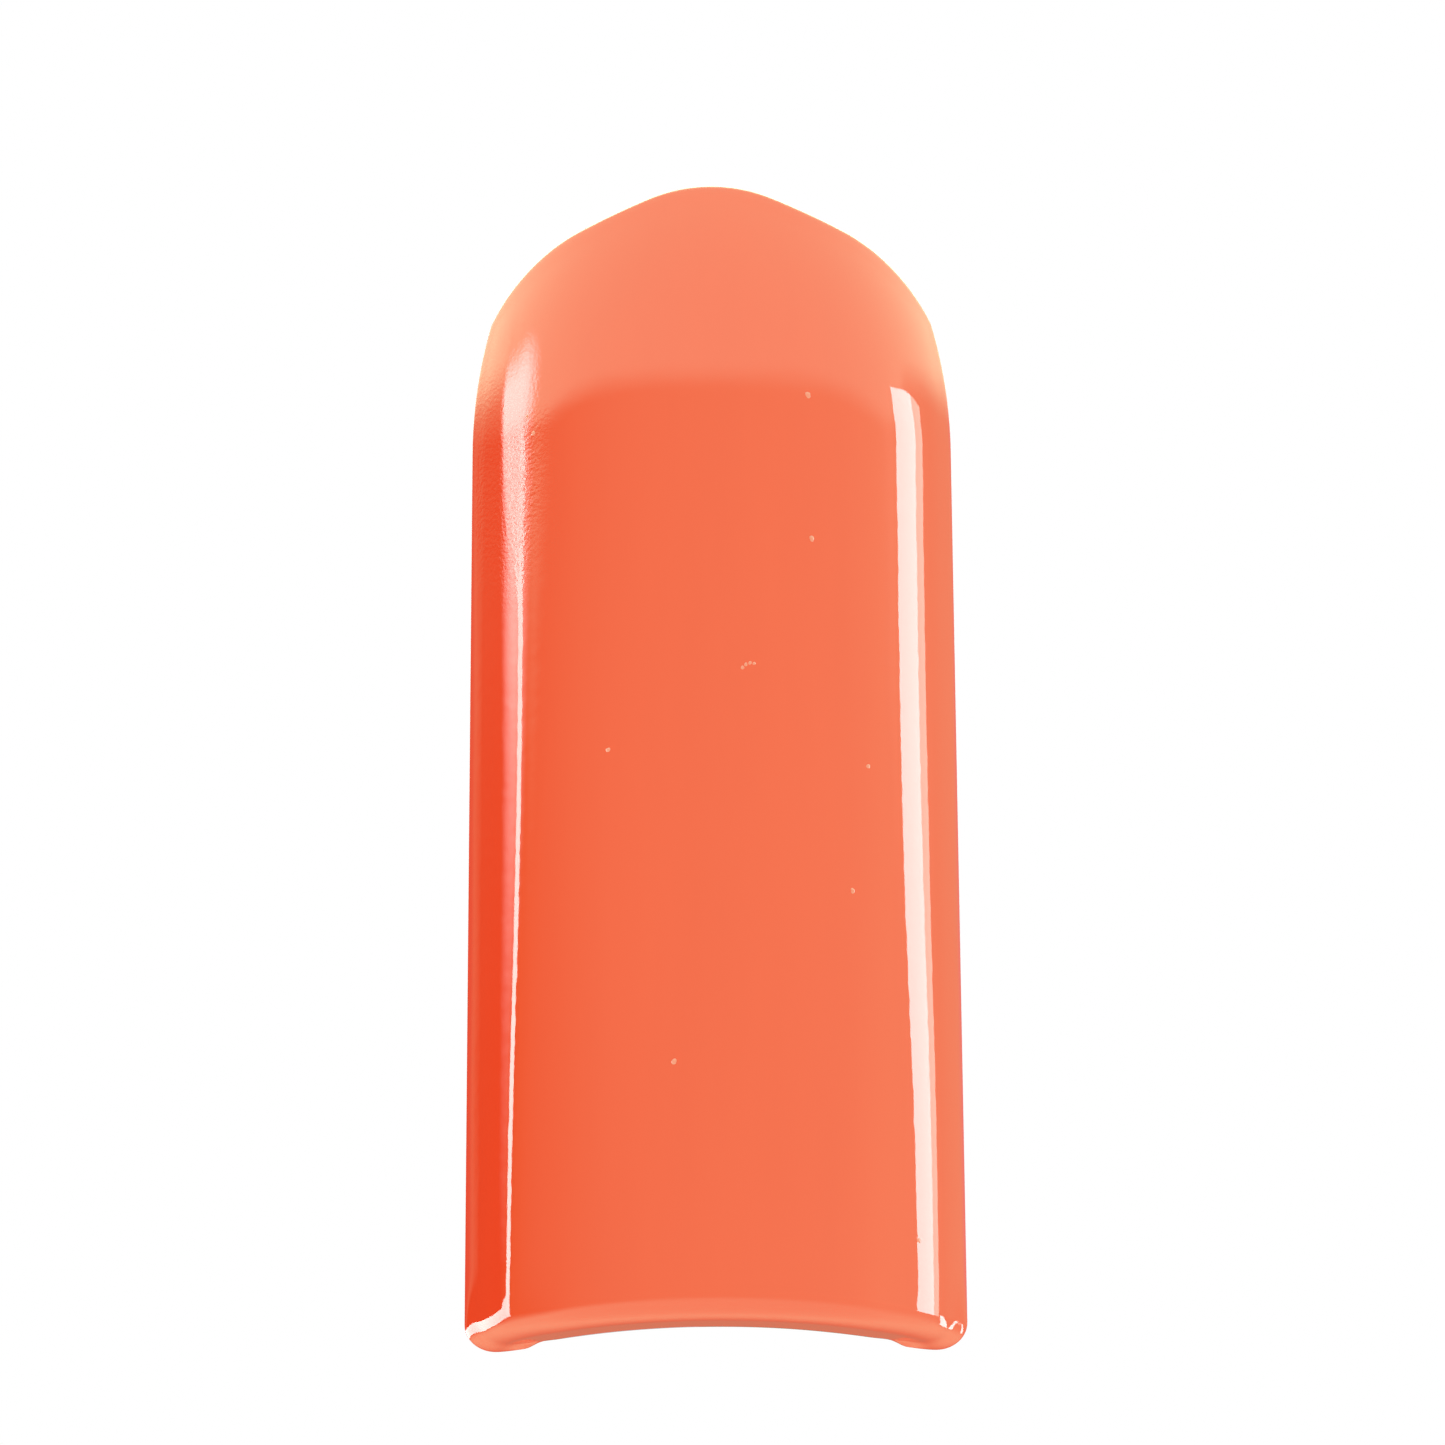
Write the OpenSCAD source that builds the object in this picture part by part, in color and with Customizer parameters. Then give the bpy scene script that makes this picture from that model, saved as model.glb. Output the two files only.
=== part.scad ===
// Artificial nail tip with a brushed polish finish.
// The tip lies on its long edges with the convex side up. +Y runs from the square free edge
// to the rounded cuticle end, X runs across the tip, and the origin is at the middle of its
// base. The tip is a sector of a slender cone that droops towards the cuticle end. It is cut
// flat along its base and trimmed to an oval at the cuticle end. Each coat of polish has the
// same thickness all over, and wraps the free edge and the cuticle edge.

/* [Moulded tip] */
// length from the free edge to the end of the cuticle oval
tip_length = 27.75; // [26:0.05:30]
// width across the base at the free edge
tip_width = 11.3; // [10.8:0.1:11.8]
// height of the crown above the base at the free edge
arch_height = 3.4; // [3.1:0.05:3.7]
// how much smaller the curve's radius is where the droop begins
curve_taper = 0.2; // [0.1:0.01:0.3]
// wall at the free edge
wall_free = 0.7; // [0.6:0.05:1]
// wall from the start of the droop to the cuticle end
wall_cuticle = 0.45; // [0.35:0.05:0.6]
// radius that rounds over the free edge
free_edge_radius = 0.3; // [0.15:0.05:0.4]

/* [Cuticle end] */
// distance from the cuticle end back to the start of the droop
droop_length = 5.8; // [5.2:0.05:6.5]
// radius of the droop seen from the side
droop_radius = 13.5; // [12:0.1:18]
// radius at the end of the oval
nose_radius = 3.65; // [3.3:0.05:4.2]
// radius of each shoulder of the oval
shoulder_radius = 3.9; // [3.5:0.05:4.4]
// how far the widest point of each shoulder stands outside the base where the droop begins
shoulder_room = 0.03; // [0:0.01:0.2]
// how far the front of each shoulder lies behind the cuticle end
shoulder_step = 0.65; // [0.4:0.05:1.2]

/* [Polish] */
// thickness of the clear base coat
base_thick = 0.06; // [0.03:0.01:0.1]
// thickness of each of the two colour coats
colour_thick = 0.08; // [0.05:0.01:0.12]
// thickness of the clear top coat
top_thick = 0.15; // [0.08:0.01:0.2]

/* [Hidden] */
$fn = 180;
past = 1;
// discs stand this much proud of the straight runs that they round off, so that the two cross
proud = 0.001;
plastic = [0.93, 0.9, 0.84];
clear = [0.98, 0.94, 0.9, 0.5];
coral = [0.95, 0.4, 0.27];
// how far the outer face of each coat stands off the bare tip
base_out = base_thick;
first_out = base_out + colour_thick;
second_out = first_out + colour_thick;
top_out = second_out + top_thick;
// radius of the curve across the tip at the free edge
curve_radius = (arch_height^2 + (tip_width / 2)^2) / (2 * arch_height);
// the axis that the curve turns about runs along Y, this far below the base
axis_drop = curve_radius - arch_height;
free_end = -tip_length / 2;
cuticle_end = tip_length / 2;
droop_start = cuticle_end - droop_length;
// half the width of the base where the droop begins
droop_half_width = sqrt((curve_radius - curve_taper)^2 - axis_drop^2);
shoulder_reach = droop_half_width + shoulder_room;
shoulder_setback = shoulder_radius + shoulder_step;

function unit(v) = v / norm(v);

// Half of a long section, as radius against length: a straight side that narrows from r0 at
// the free edge to r1 at the start of the droop, and the droop from there on.
// round is the free edge's radius and start the length at which the section begins.
// grow moves every face out by the same amount, so all arcs keep their centres.
module half_section(r0, r1, droop, round, start, grow) {
    out = unit([droop_start - free_end, r0 - r1]);
    joint = [r1, droop_start];
    mid_y = start + round;
    mid = [r0 - (r0 - r1) * (mid_y - free_end) / (droop_start - free_end) - round / out[0], mid_y];
    axis_end = [0, droop_start - r1 * out[1] / out[0]];
    polygon([
        [0, start - grow],
        [mid[0], start - grow],
        mid,
        mid + (round + grow) * out,
        joint + grow * out,
        axis_end
    ]);
    if (round + grow > 0)
        translate(mid)
            circle(r = round + grow + proud);
    intersection() {
        translate(joint - droop * out)
            circle(r = droop + grow + proud);
        translate([0, droop_start - past])
            square([r1 + 3 * past, droop_length + 2 * past]);
    }
}

// a half section turned about the long axis
module turned() {
    translate([0, 0, -axis_drop])
        rotate([-90, 0, 0])
            rotate_extrude()
                children();
}

// The outline seen from above: an oval cuticle end, and room for the whole width behind it.
module plan(grow) {
    nose = [0, cuticle_end - nose_radius];
    shoulder = [shoulder_reach - shoulder_radius, cuticle_end - shoulder_setback];
    apart = shoulder - nose;
    // direction square to the straight run between the nose and a shoulder
    turn = atan2(apart[1], apart[0]) + acos((nose_radius - shoulder_radius) / norm(apart));
    facing = [cos(turn), sin(turn)];
    half_room = tip_width / 2 + past;
    run = [
        nose + (nose_radius + grow) * facing,
        shoulder + (shoulder_radius + grow) * facing
    ];
    flip = [[-1, 0], [0, 1]];
    translate(nose)
        circle(r = nose_radius + grow + proud);
    translate(shoulder)
        circle(r = shoulder_radius + grow + proud);
    translate([-shoulder[0], shoulder[1]])
        circle(r = shoulder_radius + grow + proud);
    polygon([
        [half_room, free_end - past],
        [half_room, shoulder[1]],
        [shoulder[0], shoulder[1]],
        run[1],
        run[0],
        flip * run[0],
        flip * run[1],
        [-shoulder[0], shoulder[1]],
        [-half_room, shoulder[1]],
        [-half_room, free_end - past]
    ]);
}

// everything inside the face that stands off the bare tip by grow
module envelope(grow) {
    intersection() {
        turned()
            half_section(curve_radius, curve_radius - curve_taper, droop_radius,
                free_edge_radius, free_end, grow);
        linear_extrude(curve_radius + past)
            plan(grow);
    }
}

// the space under the tip, open at both ends
module hollow() {
    turned()
        half_section(curve_radius - wall_free, curve_radius - curve_taper - wall_cuticle,
            droop_radius - wall_cuticle, 0, free_end - past, 0);
}

// one coat of polish between two faces
module coat(from, to) {
    difference() {
        envelope(to);
        envelope(from);
        hollow();
    }
}

module tip() {
    color(plastic)
        difference() {
            envelope(0);
            hollow();
        }
}

module base_coat() {
    color(clear)
        coat(0, base_out);
}

module first_colour_coat() {
    color(coral)
        coat(base_out, first_out);
}

module second_colour_coat() {
    color(coral)
        coat(first_out, second_out);
}

module top_coat() {
    color(clear)
        coat(second_out, top_out);
}

tip();
base_coat();
first_colour_coat();
second_colour_coat();
top_coat();
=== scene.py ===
import math

import bmesh
import bpy
import numpy as np
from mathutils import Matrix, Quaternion, Vector, noise


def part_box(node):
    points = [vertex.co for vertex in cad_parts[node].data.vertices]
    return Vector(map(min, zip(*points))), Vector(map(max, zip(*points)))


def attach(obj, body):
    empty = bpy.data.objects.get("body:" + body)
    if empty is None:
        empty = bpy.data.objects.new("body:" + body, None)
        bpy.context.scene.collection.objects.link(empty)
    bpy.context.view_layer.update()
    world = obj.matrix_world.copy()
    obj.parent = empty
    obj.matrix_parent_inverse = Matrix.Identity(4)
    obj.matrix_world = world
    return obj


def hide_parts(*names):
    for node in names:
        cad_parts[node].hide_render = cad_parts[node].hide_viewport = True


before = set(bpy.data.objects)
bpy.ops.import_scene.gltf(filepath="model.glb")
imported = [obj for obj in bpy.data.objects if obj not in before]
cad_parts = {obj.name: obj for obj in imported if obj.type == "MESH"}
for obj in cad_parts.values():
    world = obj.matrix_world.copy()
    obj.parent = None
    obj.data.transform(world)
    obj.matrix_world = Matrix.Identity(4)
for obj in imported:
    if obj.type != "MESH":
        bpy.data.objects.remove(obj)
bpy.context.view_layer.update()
MM = 0.001

# ------------------------------------------------------------ the finished surface, in millimetres
# It is a surface of revolution about an axis that runs along Y under the base: a straight side
# that narrows a little, then a droop towards the cuticle end. These sizes are those of the part's
# source, and the rest is worked out from the boxes of its pieces.
FREE_EDGE_RADIUS = 0.3
WALL_FREE, WALL_CUTICLE = 0.7, 0.45
TAPER = 0.2
DROOP_LENGTH, DROOP_RADIUS = 5.8, 13.5
NOSE_RADIUS, SHOULDER_RADIUS = 3.65, 3.9
SHOULDER_ROOM, SHOULDER_STEP = 0.03, 0.65

low, high = (np.array(v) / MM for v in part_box("top_coat"))
tip_low, tip_high = (np.array(v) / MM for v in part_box("tip"))
COATS = high[1] - tip_high[1]  # all coats together
TOP = high[1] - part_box("second_colour_coat")[1][1] / MM  # the top coat alone
FREE_END = low[1]
FREE_ROUND = FREE_EDGE_RADIUS + COATS
DROOP_START = tip_high[1] - DROOP_LENGTH
STRAIGHT = DROOP_START - tip_low[1]
NARROWING = TAPER / STRAIGHT  # per millimetre of length
DROOP = DROOP_RADIUS + COATS
NOSE, SHOULDER = NOSE_RADIUS + COATS, SHOULDER_RADIUS + COATS
NOSE_MID = np.array([0, tip_high[1] - NOSE_RADIUS])
WIDEST = (high[0] ** 2 + high[2] ** 2) / (2 * high[2])  # radius where it is widest
AXIS_DROP = WIDEST - high[2]
OUT = np.array([1, NARROWING]) / math.hypot(1, NARROWING)  # square to the straight side
JOINT = np.array([WIDEST - NARROWING * (DROOP_START - FREE_END - FREE_ROUND), DROOP_START])
DROOP_MID = JOINT - DROOP * OUT
ROUND_MID = np.array([WIDEST, FREE_END + FREE_ROUND]) - FREE_ROUND * np.array([1 / OUT[0], 0])
HOLLOW_RADIUS = WIDEST + NARROWING * FREE_ROUND - COATS - WALL_FREE
SHOULDER_REACH = math.sqrt((HOLLOW_RADIUS + WALL_FREE - TAPER) ** 2 - AXIS_DROP**2) + SHOULDER_ROOM
SHOULDER_MID = np.array(
    [SHOULDER_REACH + COATS - SHOULDER, tip_high[1] - SHOULDER_RADIUS - SHOULDER_STEP]
)

EDGE = 0.04  # rolled lower edge
RIM = 0.16  # rolled cuticle edge
CORNER = 0.35  # how far the end wall is rounded up at the corners of the hollow
LIP = 0.32  # how far the polish hangs below the wall at the free edge


def meridian(part, along):
    """Point (radius, y) and outward normal on the long section of the end wall, which is the part
    "plane", or of the "round" that follows it."""
    if part == "plane":
        radius = HOLLOW_RADIUS + (ROUND_MID[0] - HOLLOW_RADIUS) * along
        return np.array([radius, FREE_END]), np.array([0.0, -1.0])
    a = -math.pi / 2 + (math.pi / 2 + math.atan2(OUT[1], OUT[0])) * along
    n = np.array([math.cos(a), math.sin(a)])
    return ROUND_MID + FREE_ROUND * n, n


def radius_at(y, inward=0.0):
    """Radius and meridian normal of the surface a distance inward, where its length is y."""
    if y <= JOINT[1] - inward * OUT[1]:
        p = ROUND_MID + (FREE_ROUND - inward) * OUT
        return p[0] - NARROWING * (y - p[1]), OUT
    rise = (y - DROOP_MID[1]) / (DROOP - inward)
    n = np.array([math.sqrt(1 - rise * rise), rise])
    return DROOP_MID[0] + (DROOP - inward) * n[0], n


def hollow_height(x, y):
    """Height of the hollow's surface above the base, or 0 where the hollow doesn't reach."""
    inner_joint = HOLLOW_RADIUS + WALL_FREE - WALL_CUTICLE - TAPER
    r = HOLLOW_RADIUS + (inner_joint - HOLLOW_RADIUS) * (y - tip_low[1]) / STRAIGHT
    if y > DROOP_START:
        d = DROOP - COATS - WALL_CUTICLE
        r = inner_joint - d + math.sqrt(d * d - (y - DROOP_START) ** 2)
    return max(0.0, math.sqrt(max(r * r - x * x, 0.0)) - AXIS_DROP)


def outline():
    """Points of the right half of the cuticle outline, with their outward normals."""
    apart = SHOULDER_MID - NOSE_MID
    turn = math.atan2(apart[1], apart[0]) + math.acos((NOSE - SHOULDER) / np.linalg.norm(apart))
    line = []
    for a in np.linspace(0, turn, 400):
        n = np.array([math.cos(a), math.sin(a)])
        line.append((SHOULDER_MID + SHOULDER * n, n))
    n = np.array([math.cos(turn), math.sin(turn)])
    p, q = SHOULDER_MID + SHOULDER * n, NOSE_MID + NOSE * n
    line += [(p + (q - p) * t, n) for t in np.linspace(0, 1, 40)[1:-1]]
    for a in np.linspace(turn, math.pi / 2, 200):
        n = np.array([math.cos(a), math.sin(a)])
        line.append((NOSE_MID + NOSE * n, n))
    # the outline leaves the base where a ball that rolls along the lower edge meets the wall
    keep = []
    for p, n in line:
        q = p - EDGE * n
        r, _ = radius_at(q[1], EDGE)
        if r * r - q[0] ** 2 - (AXIS_DROP + EDGE) ** 2 >= 0:
            keep.append((p, n))
    return keep


def slerp(a, b, t):
    w = math.acos(max(-1.0, min(1.0, float(np.dot(a, b)))))
    return a if w < 1e-6 else (math.sin((1 - t) * w) * a + math.sin(t * w) * b) / math.sin(w)


# ------------------------------------------------------------ the gloss coat's mesh
ACROSS = 128
PLANE_ROWS, ROUND_ROWS = 10, 14
BODY_ROWS = 260  # from the round to the cuticle rim


def ripple(x, y):
    """How far a brushed and self-levelled coat dips below the true surface, in millimetres."""
    slow = noise.noise(Vector((x * 0.28, y * 0.16, 3.1)))
    drawn = noise.noise(Vector((x * 0.9, y * 0.22, 7.7)))
    fine = noise.noise(Vector((x * 1.7, y * 1.9, 1.3)))
    return 0.010 + 0.0065 * slow + 0.0012 * drawn + 0.0004 * fine + flattening(x, y)


def smooth(value, start, end):
    t = min(max((value - start) / (end - start), 0.0), 1.0)
    return t * t * (3 - 2 * t)


def flattening(x, y):
    """The thick polish lies flatter over the crown towards the free edge, sinks at the corners there,
    and left a flat facet by the left shoulder."""
    turn = math.degrees(math.asin(max(-1.0, min(1.0, x / (WIDEST - 0.1)))))
    crown = 0.085 * smooth(y, 1.0, -13.0) * smooth(abs(turn), 56, 36)
    sunk = min(max((-12.3 - y) / 1.3, 0.0), 1.1)
    corner = 0.05 * sunk * sunk * smooth(abs(turn), 33, 48)
    width = 0.55 * smooth(y, 2.0, 8.0) * smooth(y, 12.6, 9.0)
    past = math.radians(-44.6 - turn) * WIDEST
    if past > 0:
        facet = max(0.0, width * width - past * past) / (2 * WIDEST)
    else:
        facet = width * width / (2 * WIDEST) * smooth(-past, 3.5, 0.0)
    return crown + corner + facet


def lift(row):
    """How far the end wall's lower edge is raised in a row, from nothing outside to CORNER at the hollow."""
    return CORNER * max(0.0, 1 - row / PLANE_ROWS) ** 2


def edge_turn(part, along, ball, raised):
    """Angle across the tip at which a ball rolling along the lower edge touches the surface."""
    p, n = meridian(part, along)
    return math.acos((AXIS_DROP + ball + raised) / (p[0] - ball * n[0]))


def on_surface(part, along, turn):
    p, n = meridian(part, along)
    s, c = math.sin(turn), math.cos(turn)
    return np.array([p[0] * s, p[1], p[0] * c - AXIS_DROP]), np.array([n[0] * s, n[1], n[0] * c])


def cuticle_edge():
    """Where the rolled rim leaves the surface, from right to left, each as its place, normal and wall
    normal, and the radius and middle of the rim's roll."""
    half = outline()
    run = np.concatenate([[0], np.cumsum([np.linalg.norm(b[0] - a[0]) for a, b in zip(half, half[1:])])])
    made = []
    for (p, n), s in zip(half, run):
        t = min(s / 1.6, 1.0)
        ball = EDGE + (RIM - EDGE) * t * t * (3 - 2 * t)
        q = p - ball * n
        r, m = radius_at(q[1], ball)
        turn = math.asin(q[0] / r)
        normal = np.array([m[0] * math.sin(turn), m[1], m[0] * math.cos(turn)])
        mid = np.array([q[0], q[1], r * math.cos(turn) - AXIS_DROP])
        made.append((mid + ball * normal, normal, np.array([n[0], n[1], 0.0]), ball, mid))
    mirror = np.array([-1, 1, 1])
    left = [tuple(v * mirror if isinstance(v, np.ndarray) else v for v in m) for m in made[-2::-1]]
    return made + left


def spread(items, count):
    """The items' values at places evenly spread along the line of their first value."""
    at = np.array([i[0] for i in items])
    run = np.concatenate([[0], np.cumsum(np.linalg.norm(np.diff(at, axis=0), axis=1))])
    want = np.linspace(0, run[-1], count)
    columns = []
    for k in range(len(items[0])):
        v = np.array([i[k] for i in items], dtype=float).reshape(len(items), -1)
        columns.append(np.stack([np.interp(want, run, v[:, j]) for j in range(v.shape[1])], axis=1))
    return columns


def gloss_mesh():
    rim = spread(cuticle_edge(), ACROSS + 1)
    rim_at, rim_n, rim_wall, rim_ball, rim_mid = rim
    rim_n /= np.linalg.norm(rim_n, axis=1)[:, None]
    rim_wall /= np.linalg.norm(rim_wall, axis=1)[:, None]
    # surface coordinates of the rim: turn across, and a length that is y on the side and droop
    rim_turn = np.arctan2(rim_at[:, 0], rim_at[:, 2] + AXIS_DROP)
    rim_y = rim_at[:, 1]
    end_y = rim_y[0]

    def side_point(y, turn):
        r, m = radius_at(y)
        s, c = math.sin(turn), math.cos(turn)
        return np.array([r * s, y, r * c - AXIS_DROP]), np.array([m[0] * s, m[1], m[0] * c])

    def side_edge(y):
        r, m = radius_at(y)
        return math.acos((AXIS_DROP + EDGE) / (r - EDGE * m[0]))

    grid, normals = [], []
    u = np.linspace(1, -1, ACROSS + 1)
    for part, count in (("plane", PLANE_ROWS), ("round", ROUND_ROWS)):
        for j in range(count):
            along = j / count
            edge = edge_turn(part, along, EDGE, lift(len(grid)))
            row = [on_surface(part, along, edge * t) for t in u]
            if part == "plane":
                # the polish hangs a little below the wall here, most in the middle
                hang = LIP * (1 - along)
                row = [
                    (p - hang * (1 - t**4) * np.array([math.sin(edge * t), 0, math.cos(edge * t)]), n)
                    for (p, n), t in zip(row, u)
                ]
            grid.append([p for p, _ in row])
            normals.append([n for _, n in row])
    start_y = (ROUND_MID + FREE_ROUND * OUT)[1]
    edge0, edge1 = side_edge(start_y), side_edge(end_y)
    for j in range(BODY_ROWS + 1):
        t = j / BODY_ROWS
        y_edge = start_y + (end_y - start_y) * t
        edge = side_edge(y_edge)
        row_p, row_n = [], []
        for i, s in enumerate(u):
            # a Coons patch in (turn, y) between the row at the free end and the cuticle rim
            turn = (1 - t) * edge0 * s + t * rim_turn[i] + edge * s - ((1 - t) * edge0 * s + t * edge1 * s)
            y = (1 - t) * start_y + t * rim_y[i] + y_edge - ((1 - t) * start_y + t * end_y)
            p, n = side_point(y, turn)
            row_p.append(p)
            row_n.append(n)
        grid.append(row_p)
        normals.append(row_n)
    grid, normals = np.array(grid), np.array(normals)
    return grid, normals, rim_wall, rim_ball[:, 0], rim_mid


grid, normals, rim_wall, rim_ball, rim_mid = gloss_mesh()
rows, columns = grid.shape[:2]


def skirt():
    """Rows of points from the surface's border over the rolled edge to the underside, all along it."""
    border = [(j, 0) for j in range(rows)] + [(rows - 1, i) for i in range(1, columns)]
    border += [(j, columns - 1) for j in range(rows - 2, -1, -1)]
    rings = []
    for j, i in border:
        p, n = grid[j, i], normals[j, i]
        top = j == rows - 1
        ring = []
        if top:
            wall, ball, mid = rim_wall[i], rim_ball[i], rim_mid[i]
        else:
            flat = np.array([n[0], n[1], 0.0])
            wall, ball = flat / np.linalg.norm(flat), EDGE
            mid = p - ball * n
        for k in range(1, 9):
            ring.append(mid + ball * slerp(n, wall, k / 8))
        foot = ring[-1] - EDGE * wall
        base = hollow_height(foot[0] - wall[0] * 0.1, foot[1] - wall[1] * 0.1) if top else lift(j)
        base = min(base, max(mid[2] - EDGE, 0.0))
        high_z, low_z = ring[-1][2], base + EDGE
        for k in (1, 2, 3):
            ring.append(np.array([ring[-1][0], ring[-1][1], high_z + (low_z - high_z) * k / 3]))
        mid = np.array([foot[0], foot[1], low_z])
        down = np.array([0.0, 0.0, -1.0])
        for k in range(1, 6):
            ring.append(mid + EDGE * slerp(wall, down, k / 5))
        inner = mid - (TOP - EDGE - 0.02) * wall
        deep = hollow_height(inner[0], inner[1]) if top else 0.0
        ring.append(np.array([inner[0], inner[1], max(min(deep, low_z), base if not top else 0.0)]))
        rings.append(ring)
    return border, np.array(rings)


border, rings = skirt()
dip = np.array([[ripple(p[0], p[1]) for p in row] for row in grid])
# the surface keeps its true place at the border
reach = np.minimum.reduce(
    [
        np.linalg.norm(grid - grid[:, :1], axis=2),
        np.linalg.norm(grid - grid[:, -1:], axis=2),
        np.linalg.norm(grid - grid[-1:], axis=2),
    ]
)
fade = np.clip(reach / 0.6, 0, 1)
fade = fade * fade * (3 - 2 * fade)
shown = grid - normals * (dip * fade)[:, :, None]
inner = grid - normals * (TOP - 0.01)

points = list(shown.reshape(-1, 3)) + list(inner.reshape(-1, 3))
faces = []


def at(j, i, layer=0):
    return layer * rows * columns + j * columns + i


for j in range(rows - 1):
    for i in range(columns - 1):
        a, b, c, d = (j, i), (j + 1, i), (j + 1, i + 1), (j, i + 1)
        faces.append([at(*v) for v in (a, b, c, d)])
        faces.append([at(*v, layer=1) for v in (d, c, b, a)])
first = len(points)
deep = rings.shape[1]
points += list(rings.reshape(-1, 3))


def skirt_row(k):
    """The points of one row of the skirt, with the points of the coat's two sides that it joins."""
    return [at(*border[k]), *range(first + k * deep, first + (k + 1) * deep), at(*border[k], layer=1)]


for k in range(len(border) - 1):
    here, then = skirt_row(k), skirt_row(k + 1)
    for m in range(len(here) - 1):
        faces.append([here[m], here[m + 1], then[m + 1], then[m]])
for i in range(columns - 1):
    faces.append([at(0, i), at(0, i + 1), at(0, i + 1, 1), at(0, i, 1)])

mesh = bpy.data.meshes.new("gloss_coat")
mesh.from_pydata([(p[0] * MM, p[1] * MM, max(p[2], 0.0) * MM) for p in points], [], faces)
mesh.validate()
mesh.update()
bm = bmesh.new()
bm.from_mesh(mesh)
bmesh.ops.remove_doubles(bm, verts=bm.verts, dist=1.5e-6)
bmesh.ops.dissolve_degenerate(bm, dist=1e-7, edges=bm.edges)
bmesh.ops.recalc_face_normals(bm, faces=bm.faces)
bm.to_mesh(mesh)
bm.free()
mesh.shade_smooth()
gloss = bpy.data.objects.new("gloss_coat", mesh)
bpy.context.collection.objects.link(gloss)
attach(gloss, "root")
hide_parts("top_coat")


# ------------------------------------------------------------ materials
def material(name):
    mat = bpy.data.materials.new(name)
    mat.use_nodes = True
    nodes, links = mat.node_tree.nodes, mat.node_tree.links
    return mat, nodes, links, nodes["Principled BSDF"]


def give(node, mat):
    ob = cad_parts[node]
    for s in ob.material_slots:
        s.material = mat
    if not ob.material_slots:
        ob.data.materials.append(mat)


def coral(name, deep_tone, pale_tone, clear):
    mat, nodes, links, shader = material(name)
    place = nodes.new("ShaderNodeTexCoord")
    stretch = nodes.new("ShaderNodeMapping")
    stretch.inputs["Scale"].default_value = (420, 60, 420)
    links.new(place.outputs["Object"], stretch.inputs["Vector"])
    streaks = nodes.new("ShaderNodeTexNoise")
    streaks.inputs["Scale"].default_value = 1.0
    streaks.inputs["Detail"].default_value = 3
    links.new(stretch.outputs["Vector"], streaks.inputs["Vector"])
    ramp = nodes.new("ShaderNodeValToRGB")
    ramp.color_ramp.elements[0].position, ramp.color_ramp.elements[1].position = 0.3, 0.7
    ramp.color_ramp.elements[0].color = (*deep_tone, 1)
    ramp.color_ramp.elements[1].color = (*pale_tone, 1)
    links.new(streaks.outputs["Fac"], ramp.inputs["Fac"])
    links.new(ramp.outputs["Color"], shader.inputs["Base Color"])
    grain = nodes.new("ShaderNodeTexNoise")
    grain.inputs["Scale"].default_value = 9000
    grain.inputs["Detail"].default_value = 2
    links.new(place.outputs["Object"], grain.inputs["Vector"])
    rough = nodes.new("ShaderNodeMapRange")
    rough.inputs["To Min"].default_value, rough.inputs["To Max"].default_value = 0.42, 0.58
    links.new(grain.outputs["Fac"], rough.inputs["Value"])
    links.new(rough.outputs["Result"], shader.inputs["Roughness"])
    shader.inputs["Specular IOR Level"].default_value = 0.0 if clear else 0.3
    peel = nodes.new("ShaderNodeTexNoise")
    peel.inputs["Scale"].default_value = 2600
    peel.inputs["Detail"].default_value = 1
    links.new(place.outputs["Object"], peel.inputs["Vector"])
    wave = nodes.new("ShaderNodeBump")
    wave.inputs["Strength"].default_value = 1.0
    wave.inputs["Distance"].default_value = 0.0000012 if clear else 0.000004
    links.new(peel.outputs["Fac"], wave.inputs["Height"])
    links.new(wave.outputs["Normal"], shader.inputs["Normal"])
    if clear:
        # a patch by the left shoulder levelled badly: a very faint, fine pitting
        patch = nodes.new("ShaderNodeMapping")
        patch.inputs["Location"].default_value = (0.005 * 900, -0.0085 * 240, 0)
        patch.inputs["Scale"].default_value = (900, 240, 0)
        links.new(place.outputs["Object"], patch.inputs["Vector"])
        near = nodes.new("ShaderNodeVectorMath")
        near.operation = "LENGTH"
        links.new(patch.outputs["Vector"], near.inputs[0])
        inside = nodes.new("ShaderNodeMapRange")
        inside.interpolation_type = "SMOOTHSTEP"
        inside.inputs["From Min"].default_value, inside.inputs["From Max"].default_value = 1.3, 0.7
        links.new(near.outputs["Value"], inside.inputs["Value"])
        pits = nodes.new("ShaderNodeTexNoise")
        pits.inputs["Scale"].default_value = 11000
        pits.inputs["Detail"].default_value = 1
        links.new(place.outputs["Object"], pits.inputs["Vector"])
        depth = nodes.new("ShaderNodeMath")
        depth.operation = "MULTIPLY"
        links.new(pits.outputs["Fac"], depth.inputs[0])
        links.new(inside.outputs["Result"], depth.inputs[1])
        pitted = nodes.new("ShaderNodeBump")
        pitted.inputs["Strength"].default_value = 1.0
        pitted.inputs["Distance"].default_value = 0.0000024
        links.new(depth.outputs[0], pitted.inputs["Height"])
        links.new(wave.outputs["Normal"], pitted.inputs["Normal"])
        links.new(pitted.outputs["Normal"], shader.inputs["Coat Normal"])
    if clear:
        shader.inputs["Coat Weight"].default_value = 1.0
        shader.inputs["Coat Roughness"].default_value = 0.025
        shader.inputs["Coat IOR"].default_value = 1.5
    return mat


gloss_coral = coral("gloss_over_coral", (0.88, 0.052, 0.012), (0.90, 0.058, 0.014), True)
gloss.data.materials.append(gloss_coral)


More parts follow.
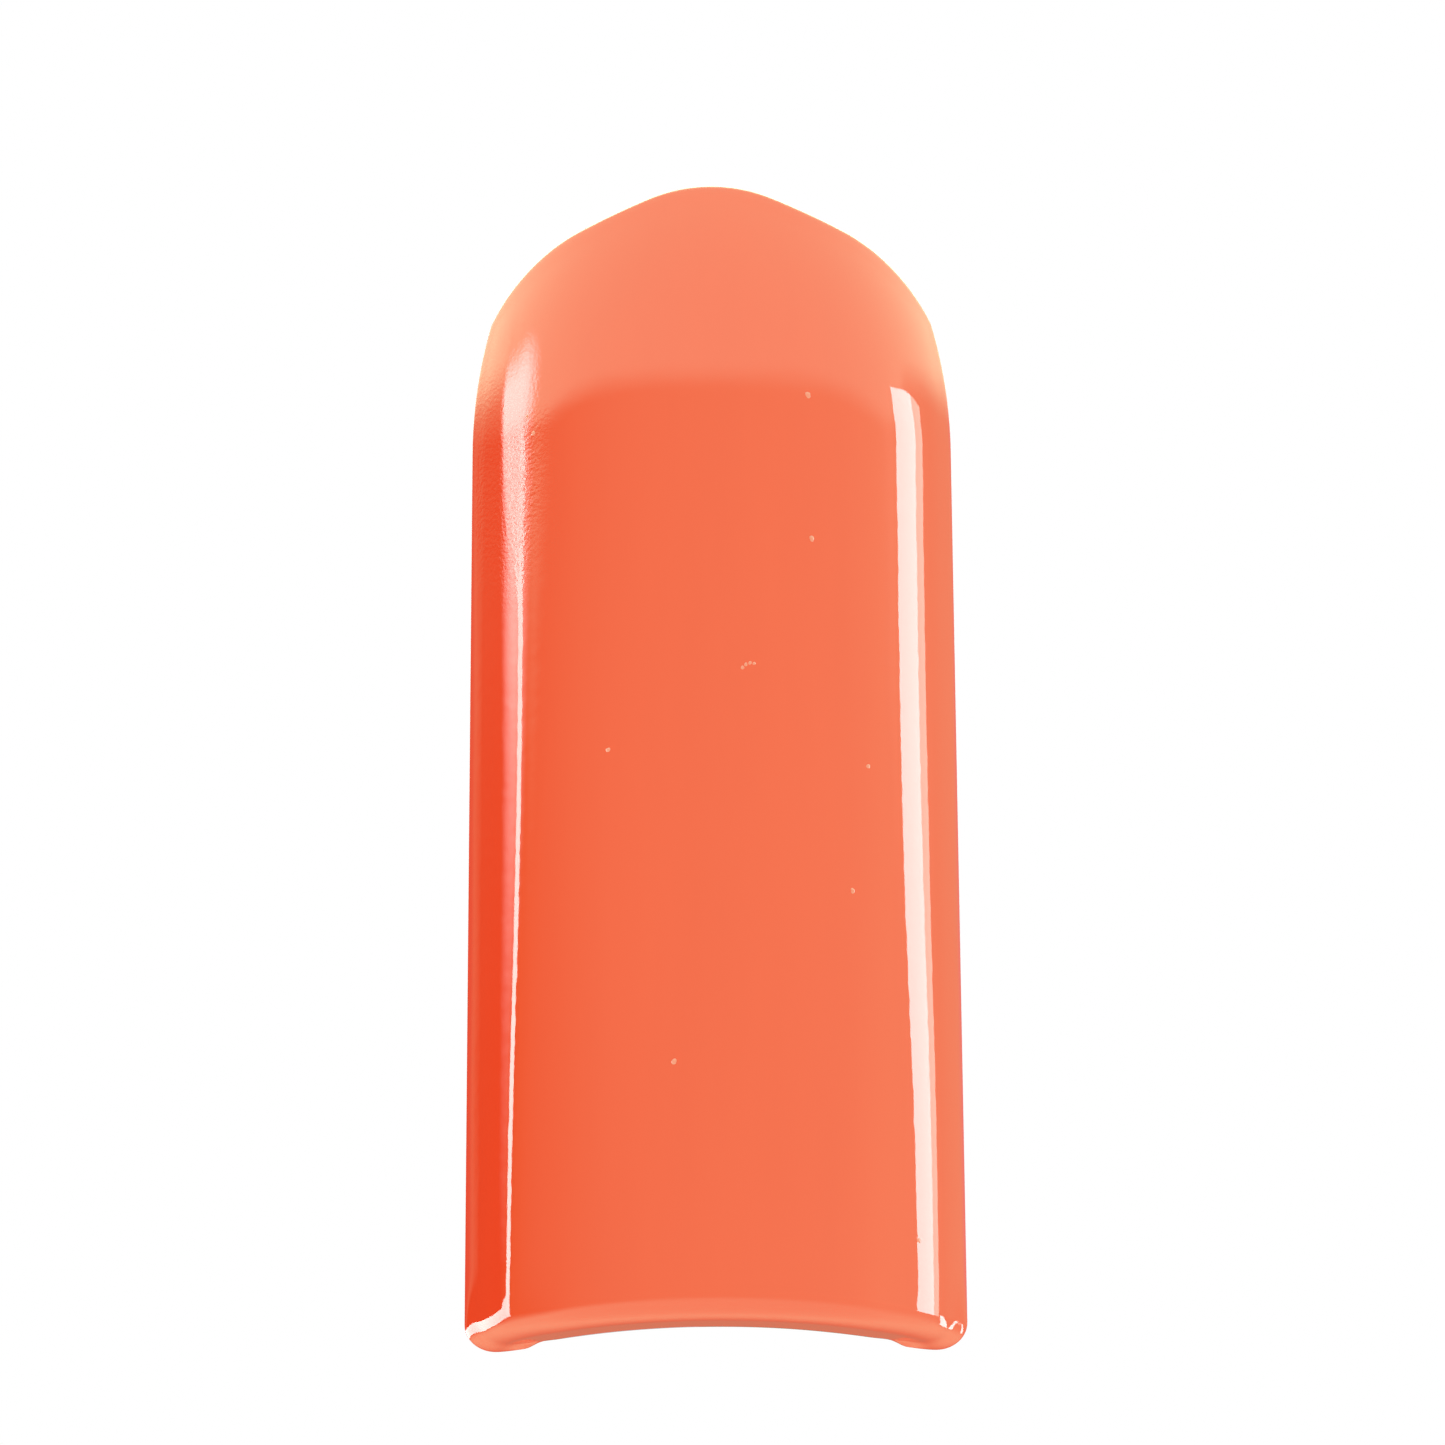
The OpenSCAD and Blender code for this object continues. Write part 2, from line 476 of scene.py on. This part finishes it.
# specks of dust and a short fibre that set in the top coat, as (x, y, radius)
NIBS = [
    (2.34, 8.68, 0.065), (2.41, 5.09, 0.06), (-0.98, -7.92, 0.06), (-4.34, 8.08, 0.055),
    (-4.49, 8.54, 0.045), (3.35, -3.55, 0.055), (3.74, -0.41, 0.05), (-2.53, -0.13, 0.05),
    (4.9, -11.9, 0.05), (0.72, 1.78, 0.04), (0.80, 1.86, 0.04), (0.90, 1.90, 0.04), (1.00, 1.89, 0.035),
]


NIB_SPREAD = 1.2  # of the radii above, for the polish drawn up around each


def nib_mesh():
    made, around, up_rings = bmesh.new(), 16, 5
    for x, y, radius in NIBS:
        size = radius * NIB_SPREAD
        r, m = radius_at(y)
        turn = math.asin(x / r)
        n = np.array([m[0] * math.sin(turn), m[1], m[0] * math.cos(turn)])
        foot = np.array([x, y, r * math.cos(turn) - AXIS_DROP]) - n * (ripple(x, y) + 0.004)
        along = np.array([0.0, n[2], -n[1]])
        along /= np.linalg.norm(along)
        across = np.cross(along, n)
        rings = []
        for k in range(up_rings):
            q = k / up_rings
            out, rise = size * (1 - q * q * 0.9), size * 0.5 * (3 * q * q - 2 * q**3)
            ring = []
            for a in range(around):
                w = 2 * math.pi * a / around
                wobble = 1 + 0.12 * math.sin(2 * w + x * 7) + 0.06 * math.sin(3 * w + y * 5)
                place_at = foot + (across * math.cos(w) + along * math.sin(w)) * out * wobble + n * rise
                ring.append(made.verts.new(place_at * MM))
            rings.append(ring)
        top = made.verts.new((foot + n * size * 0.5) * MM)
        bottom = made.verts.new((foot - n * size * 0.2) * MM)
        for a in range(around):
            b = (a + 1) % around
            for one, two in zip(rings, rings[1:]):
                made.faces.new((one[a], one[b], two[b], two[a]))
            made.faces.new((rings[-1][a], rings[-1][b], top))
            made.faces.new((rings[0][b], rings[0][a], bottom))
    m = bpy.data.meshes.new("dust_nibs")
    bmesh.ops.recalc_face_normals(made, faces=made.faces)
    made.to_mesh(m)
    made.free()
    m.shade_smooth()
    return m


nibs = bpy.data.objects.new("dust_nibs", nib_mesh())
bpy.context.collection.objects.link(nibs)
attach(nibs, "root")
nibs.data.materials.append(coral("dust_under_gloss", (0.88, 0.20, 0.11), (0.92, 0.30, 0.19), True))
give("first_colour_coat", coral("first_coat_coral", (0.78, 0.09, 0.04), (0.82, 0.13, 0.07), False))
give("second_colour_coat", coral("second_coat_coral", (0.80, 0.06, 0.02), (0.82, 0.07, 0.025), False))

milk, nodes, links, shader = material("milky_plastic")
place = nodes.new("ShaderNodeTexCoord")
cloud = nodes.new("ShaderNodeTexNoise")
cloud.inputs["Scale"].default_value = 160
cloud.inputs["Detail"].default_value = 3
links.new(place.outputs["Object"], cloud.inputs["Vector"])
ramp = nodes.new("ShaderNodeValToRGB")
ramp.color_ramp.elements[0].color = (0.74, 0.70, 0.62, 1)
ramp.color_ramp.elements[1].color = (0.80, 0.77, 0.70, 1)
links.new(cloud.outputs["Fac"], ramp.inputs["Fac"])
links.new(ramp.outputs["Color"], shader.inputs["Base Color"])
shader.inputs["Roughness"].default_value = 0.38
shader.inputs["Subsurface Weight"].default_value = 0.25
shader.inputs["Subsurface Scale"].default_value = 0.0006
spark = nodes.new("ShaderNodeTexNoise")
spark.inputs["Scale"].default_value = 6000
links.new(place.outputs["Object"], spark.inputs["Vector"])
bump = nodes.new("ShaderNodeBump")
bump.inputs["Strength"].default_value = 0.25
bump.inputs["Distance"].default_value = 0.00001
links.new(spark.outputs["Fac"], bump.inputs["Height"])
links.new(bump.outputs["Normal"], shader.inputs["Normal"])
give("tip", milk)

varnish, nodes, links, shader = material("clear_base")
place = nodes.new("ShaderNodeTexCoord")
cloud = nodes.new("ShaderNodeTexNoise")
cloud.inputs["Scale"].default_value = 300
links.new(place.outputs["Object"], cloud.inputs["Vector"])
ramp = nodes.new("ShaderNodeValToRGB")
ramp.color_ramp.elements[0].color = (0.80, 0.62, 0.52, 1)
ramp.color_ramp.elements[1].color = (0.86, 0.70, 0.60, 1)
links.new(cloud.outputs["Fac"], ramp.inputs["Fac"])
links.new(ramp.outputs["Color"], shader.inputs["Base Color"])
shader.inputs["Roughness"].default_value = 0.12
give("base_coat", varnish)


# ------------------------------------------------------------ floor, lights and camera
floor_mesh = bpy.data.meshes.new("floor")
floor_mesh.from_pydata([(-0.6, -0.6, 0), (0.6, -0.6, 0), (0.6, 0.6, 0), (-0.6, 0.6, 0)], [], [(0, 1, 2, 3)])
floor = bpy.data.objects.new("floor", floor_mesh)
bpy.context.collection.objects.link(floor)
floor.location.z = -0.00001
floor_mat = bpy.data.materials.new("floor")
floor_mat.use_nodes = True
floor_mat.node_tree.nodes.clear()
glow = floor_mat.node_tree.nodes.new("ShaderNodeEmission")
glow.inputs["Strength"].default_value = 1.0
out = floor_mat.node_tree.nodes.new("ShaderNodeOutputMaterial")
floor_mat.node_tree.links.new(glow.outputs[0], out.inputs["Surface"])
floor_mesh.materials.append(floor_mat)
floor.visible_glossy = False

# The studio: an even white light, and what the gloss mirrors. A big soft light hangs over the
# part, dims towards the left and ends at a dark wall there, and the room behind is brighter.
world = bpy.data.worlds.new("studio")
bpy.context.scene.world = world
world.use_nodes = True
sky = world.node_tree


def sky_node(kind, operation=None, **values):
    n = sky.nodes.new(kind)
    if operation:
        n.operation = operation
    for key, value in values.items():
        socket = n.inputs[int(key[1:])] if key[0] == "i" and key[1:].isdigit() else n.inputs[key]
        if hasattr(value, "is_output"):
            sky.links.new(value, socket)
        else:
            socket.default_value = value
    return n


def maths(operation, a, b=0.0, c=0.0):
    return sky_node("ShaderNodeMath", operation, i0=a, i1=b, i2=c).outputs[0]


def soft_step(value, start, end):
    n = sky_node("ShaderNodeMapRange", i0=value, i1=start, i2=end, i3=0.0, i4=1.0)
    n.interpolation_type = "SMOOTHSTEP"
    return n.outputs[0]


def blend_colour(amount, a, b):
    n = sky.nodes.new("ShaderNodeMix")
    n.data_type = "RGBA"
    for socket, value in zip((n.inputs[0], n.inputs[6], n.inputs[7]), (amount, a, b)):
        if hasattr(value, "is_output"):
            sky.links.new(value, socket)
        else:
            socket.default_value = value
    return n.outputs[2]


BRIGHT = 14.0  # colours below are divided by this, and the light has it as its strength
# light from each direction across the part, in degrees from straight up towards the right,
# with its green and blue parts
LIGHT_ACROSS = [
    (-130, 0.2, 0.15),
    (-122, 0.3, 0.25),
    (-118.5, 0.75, 0.45),
    (-116, 0.15, 0.08),
    (-96, 0.2, 0.1),
    (-88, 0.9, 0.35),
    (-76, 1.45, 0.75),
    (-60, 2.05, 1.1),
    (-45, 2.4, 1.35),
    (-28, 2.65, 1.5),
    (0, 2.9, 1.65),
    (40, 3.1, 1.8),
    (75, 3.2, 1.88),
    (100, 2.6, 1.6),
    (108, 2.1, 1.25),
    (121, 1.8, 1.1),
    (128, 1.1, 1.35),
]
RED = 0.55  # of the green, so that the coral doesn't burn out


def glow_of(green, blue):
    return (green * RED / BRIGHT, green / BRIGHT, blue / BRIGHT, 1)


way = sky.nodes.new("ShaderNodeTexCoord").outputs["Generated"]
split = sky_node("ShaderNodeSeparateXYZ", i0=way)
wx, wy, wz = split.outputs
span = LIGHT_ACROSS[-1][0] - LIGHT_ACROSS[0][0]
round_angle = maths("ARCTAN2", wx, wz)
from_first = maths("SUBTRACT", maths("MULTIPLY", round_angle, 180 / math.pi), float(LIGHT_ACROSS[0][0]))
place = maths("DIVIDE", from_first, float(span))
across = sky.nodes.new("ShaderNodeValToRGB")
steps = across.color_ramp.elements
while len(steps) < len(LIGHT_ACROSS):
    steps.new(0.5)
for step, (angle, green, blue) in zip(steps, LIGHT_ACROSS):
    step.position = (angle - LIGHT_ACROSS[0][0]) / span
for step, (angle, green, blue) in zip(steps, LIGHT_ACROSS):
    step.color = glow_of(green, blue)
sky.links.new(place, across.inputs["Fac"])
low_down = soft_step(wz, 0.15, -0.15)
up_part = maths("MULTIPLY", maths("MAXIMUM", wz, 0.0), 0.45)
side_part = maths("MULTIPLY", maths("MULTIPLY", wx, wx), 0.25)
behind = maths("SUBTRACT", maths("SUBTRACT", wy, up_part), side_part)
behind = maths("SUBTRACT", behind, maths("MULTIPLY", low_down, 0.2))
behind = soft_step(behind, -0.065, 0.065)
in_front = soft_step(wy, -0.1, -0.5)
under_front = maths("MULTIPLY", soft_step(wy, 0.1, -0.1), soft_step(wz, -0.25, -1.0))
low_left = maths("MULTIPLY", soft_step(wz, 0.4, 0.0), soft_step(wx, 0.0, -0.3))
low_left = maths("MULTIPLY", low_left, soft_step(wy, 0.22, 0.4))
mirrored = blend_colour(low_left, across.outputs["Color"], glow_of(1.9, 1.1))
mirrored = blend_colour(behind, mirrored, glow_of(4.5, 2.9))
mirrored = blend_colour(in_front, mirrored, glow_of(4.0, 2.5))
mirrored = blend_colour(under_front, mirrored, glow_of(0.45, 0.3))
even = sky.nodes["Background"]
even.inputs["Color"].default_value = (1, 1, 1, 1)
even.inputs["Strength"].default_value = 1.0
studio = sky_node("ShaderNodeBackground", i0=mirrored, i1=BRIGHT)
ray = sky.nodes.new("ShaderNodeLightPath")
glossy = ray.outputs["Is Glossy Ray"]
choose = sky_node("ShaderNodeMixShader", i0=glossy, i1=even.outputs[0], i2=studio.outputs[0])
sky.links.new(choose.outputs[0], sky.nodes["World Output"].inputs["Surface"])


def light_card(name, corners, strength, tint=(1, 1, 1), soft=False):
    """A lit card half a metre away that shows only in reflections. Corners are (azimuth, elevation)
    in degrees, with azimuth from +X towards +Y."""
    spots = []
    for azimuth, elevation in corners:
        a, e = math.radians(azimuth), math.radians(elevation)
        spots.append(Vector((math.cos(a) * math.cos(e), math.sin(a) * math.cos(e), math.sin(e))) * 0.5)
    m = bpy.data.meshes.new(name)
    m.from_pydata(spots, [], [tuple(range(len(spots)))])
    ob = bpy.data.objects.new(name, m)
    bpy.context.collection.objects.link(ob)
    mat = bpy.data.materials.new(name)
    mat.use_nodes = True
    mat.node_tree.nodes.clear()
    glow = mat.node_tree.nodes.new("ShaderNodeEmission")
    glow.inputs["Color"].default_value = (*tint, 1)
    glow.inputs["Strength"].default_value = strength
    out = mat.node_tree.nodes.new("ShaderNodeOutputMaterial")
    mat.node_tree.links.new(glow.outputs[0], out.inputs["Surface"])
    if soft:
        # fades from the middle of the card to its border
        spot = mat.node_tree.nodes.new("ShaderNodeTexCoord")
        centred = mat.node_tree.nodes.new("ShaderNodeMapping")
        centred.inputs["Location"].default_value = (0, -1, -1)
        centred.inputs["Scale"].default_value = (0, 2, 2)
        far = mat.node_tree.nodes.new("ShaderNodeVectorMath")
        far.operation = "LENGTH"
        fall = mat.node_tree.nodes.new("ShaderNodeMapRange")
        fall.interpolation_type = "SMOOTHSTEP"
        fall.inputs["From Min"].default_value, fall.inputs["From Max"].default_value = 1.0, 0.2
        clear = mat.node_tree.nodes.new("ShaderNodeBsdfTransparent")
        faded = mat.node_tree.nodes.new("ShaderNodeMixShader")
        mat.node_tree.links.new(spot.outputs["Generated"], centred.inputs["Vector"])
        mat.node_tree.links.new(centred.outputs["Vector"], far.inputs[0])
        mat.node_tree.links.new(far.outputs["Value"], fall.inputs["Value"])
        mat.node_tree.links.new(fall.outputs["Result"], faded.inputs[0])
        mat.node_tree.links.new(clear.outputs[0], faded.inputs[1])
        mat.node_tree.links.new(glow.outputs[0], faded.inputs[2])
        mat.node_tree.links.new(faded.outputs[0], out.inputs["Surface"])
    m.materials.append(mat)
    ob.visible_camera = False
    ob.visible_shadow = False
    ob.visible_diffuse = False
    return ob


CREAM = (1, 0.94, 0.9)
light_card("right_strip", [(-5, -7.8), (22.5, -7.8), (23.5, 3.2), (-5, 3.2)], 14.5, CREAM)
light_card("right_strip_edge", [(-4, -12.2), (21, -12.2), (22.5, -7.8), (-4, -7.8)], 9, (1, 0.85, 0.7))
light_card("right_low_strip", [(-20, -24), (0, -17), (0, -13), (-20, -17)], 14, CREAM)
light_card("left_strip", [(163, -1.2), (188, -1.2), (188, 1.2), (163, 1.2)], 14.5, CREAM)
light_card("left_upper", [(148, 7), (148, -14), (169, -14), (169, 7)], 13, (1, 0.88, 0.82), soft=True)
light_card("left_corner", [(172, 1.2), (190, 1.2), (198, -12), (204, -36), (184, -36), (176, -12)], 13, CREAM)

camera = bpy.data.objects.new("camera", bpy.data.cameras.new("camera"))
bpy.context.collection.objects.link(camera)
bpy.context.scene.camera = camera
ELEVATION = math.radians(76)
DISTANCE = 0.42
ACROSS_VIEW = 0.03497  # width of what the picture takes in
SENSOR = 36
back = Vector((0, -math.cos(ELEVATION), math.sin(ELEVATION)))
up = Vector((0, math.sin(ELEVATION), math.cos(ELEVATION)))
ROLL = math.radians(-0.29)
aim = Vector((0.00023, -0.00027, 0)) + up * 0.001535
camera.location = aim + back * DISTANCE
camera.rotation_euler = (Quaternion(back, ROLL) @ back.to_track_quat("Z", "Y")).to_euler()
camera.data.sensor_width = SENSOR
camera.data.lens = SENSOR * DISTANCE / ACROSS_VIEW
camera.data.clip_start, camera.data.clip_end = 0.01, 5
camera.data.dof.use_dof = False
bpy.context.scene.view_settings.view_transform = "Standard"
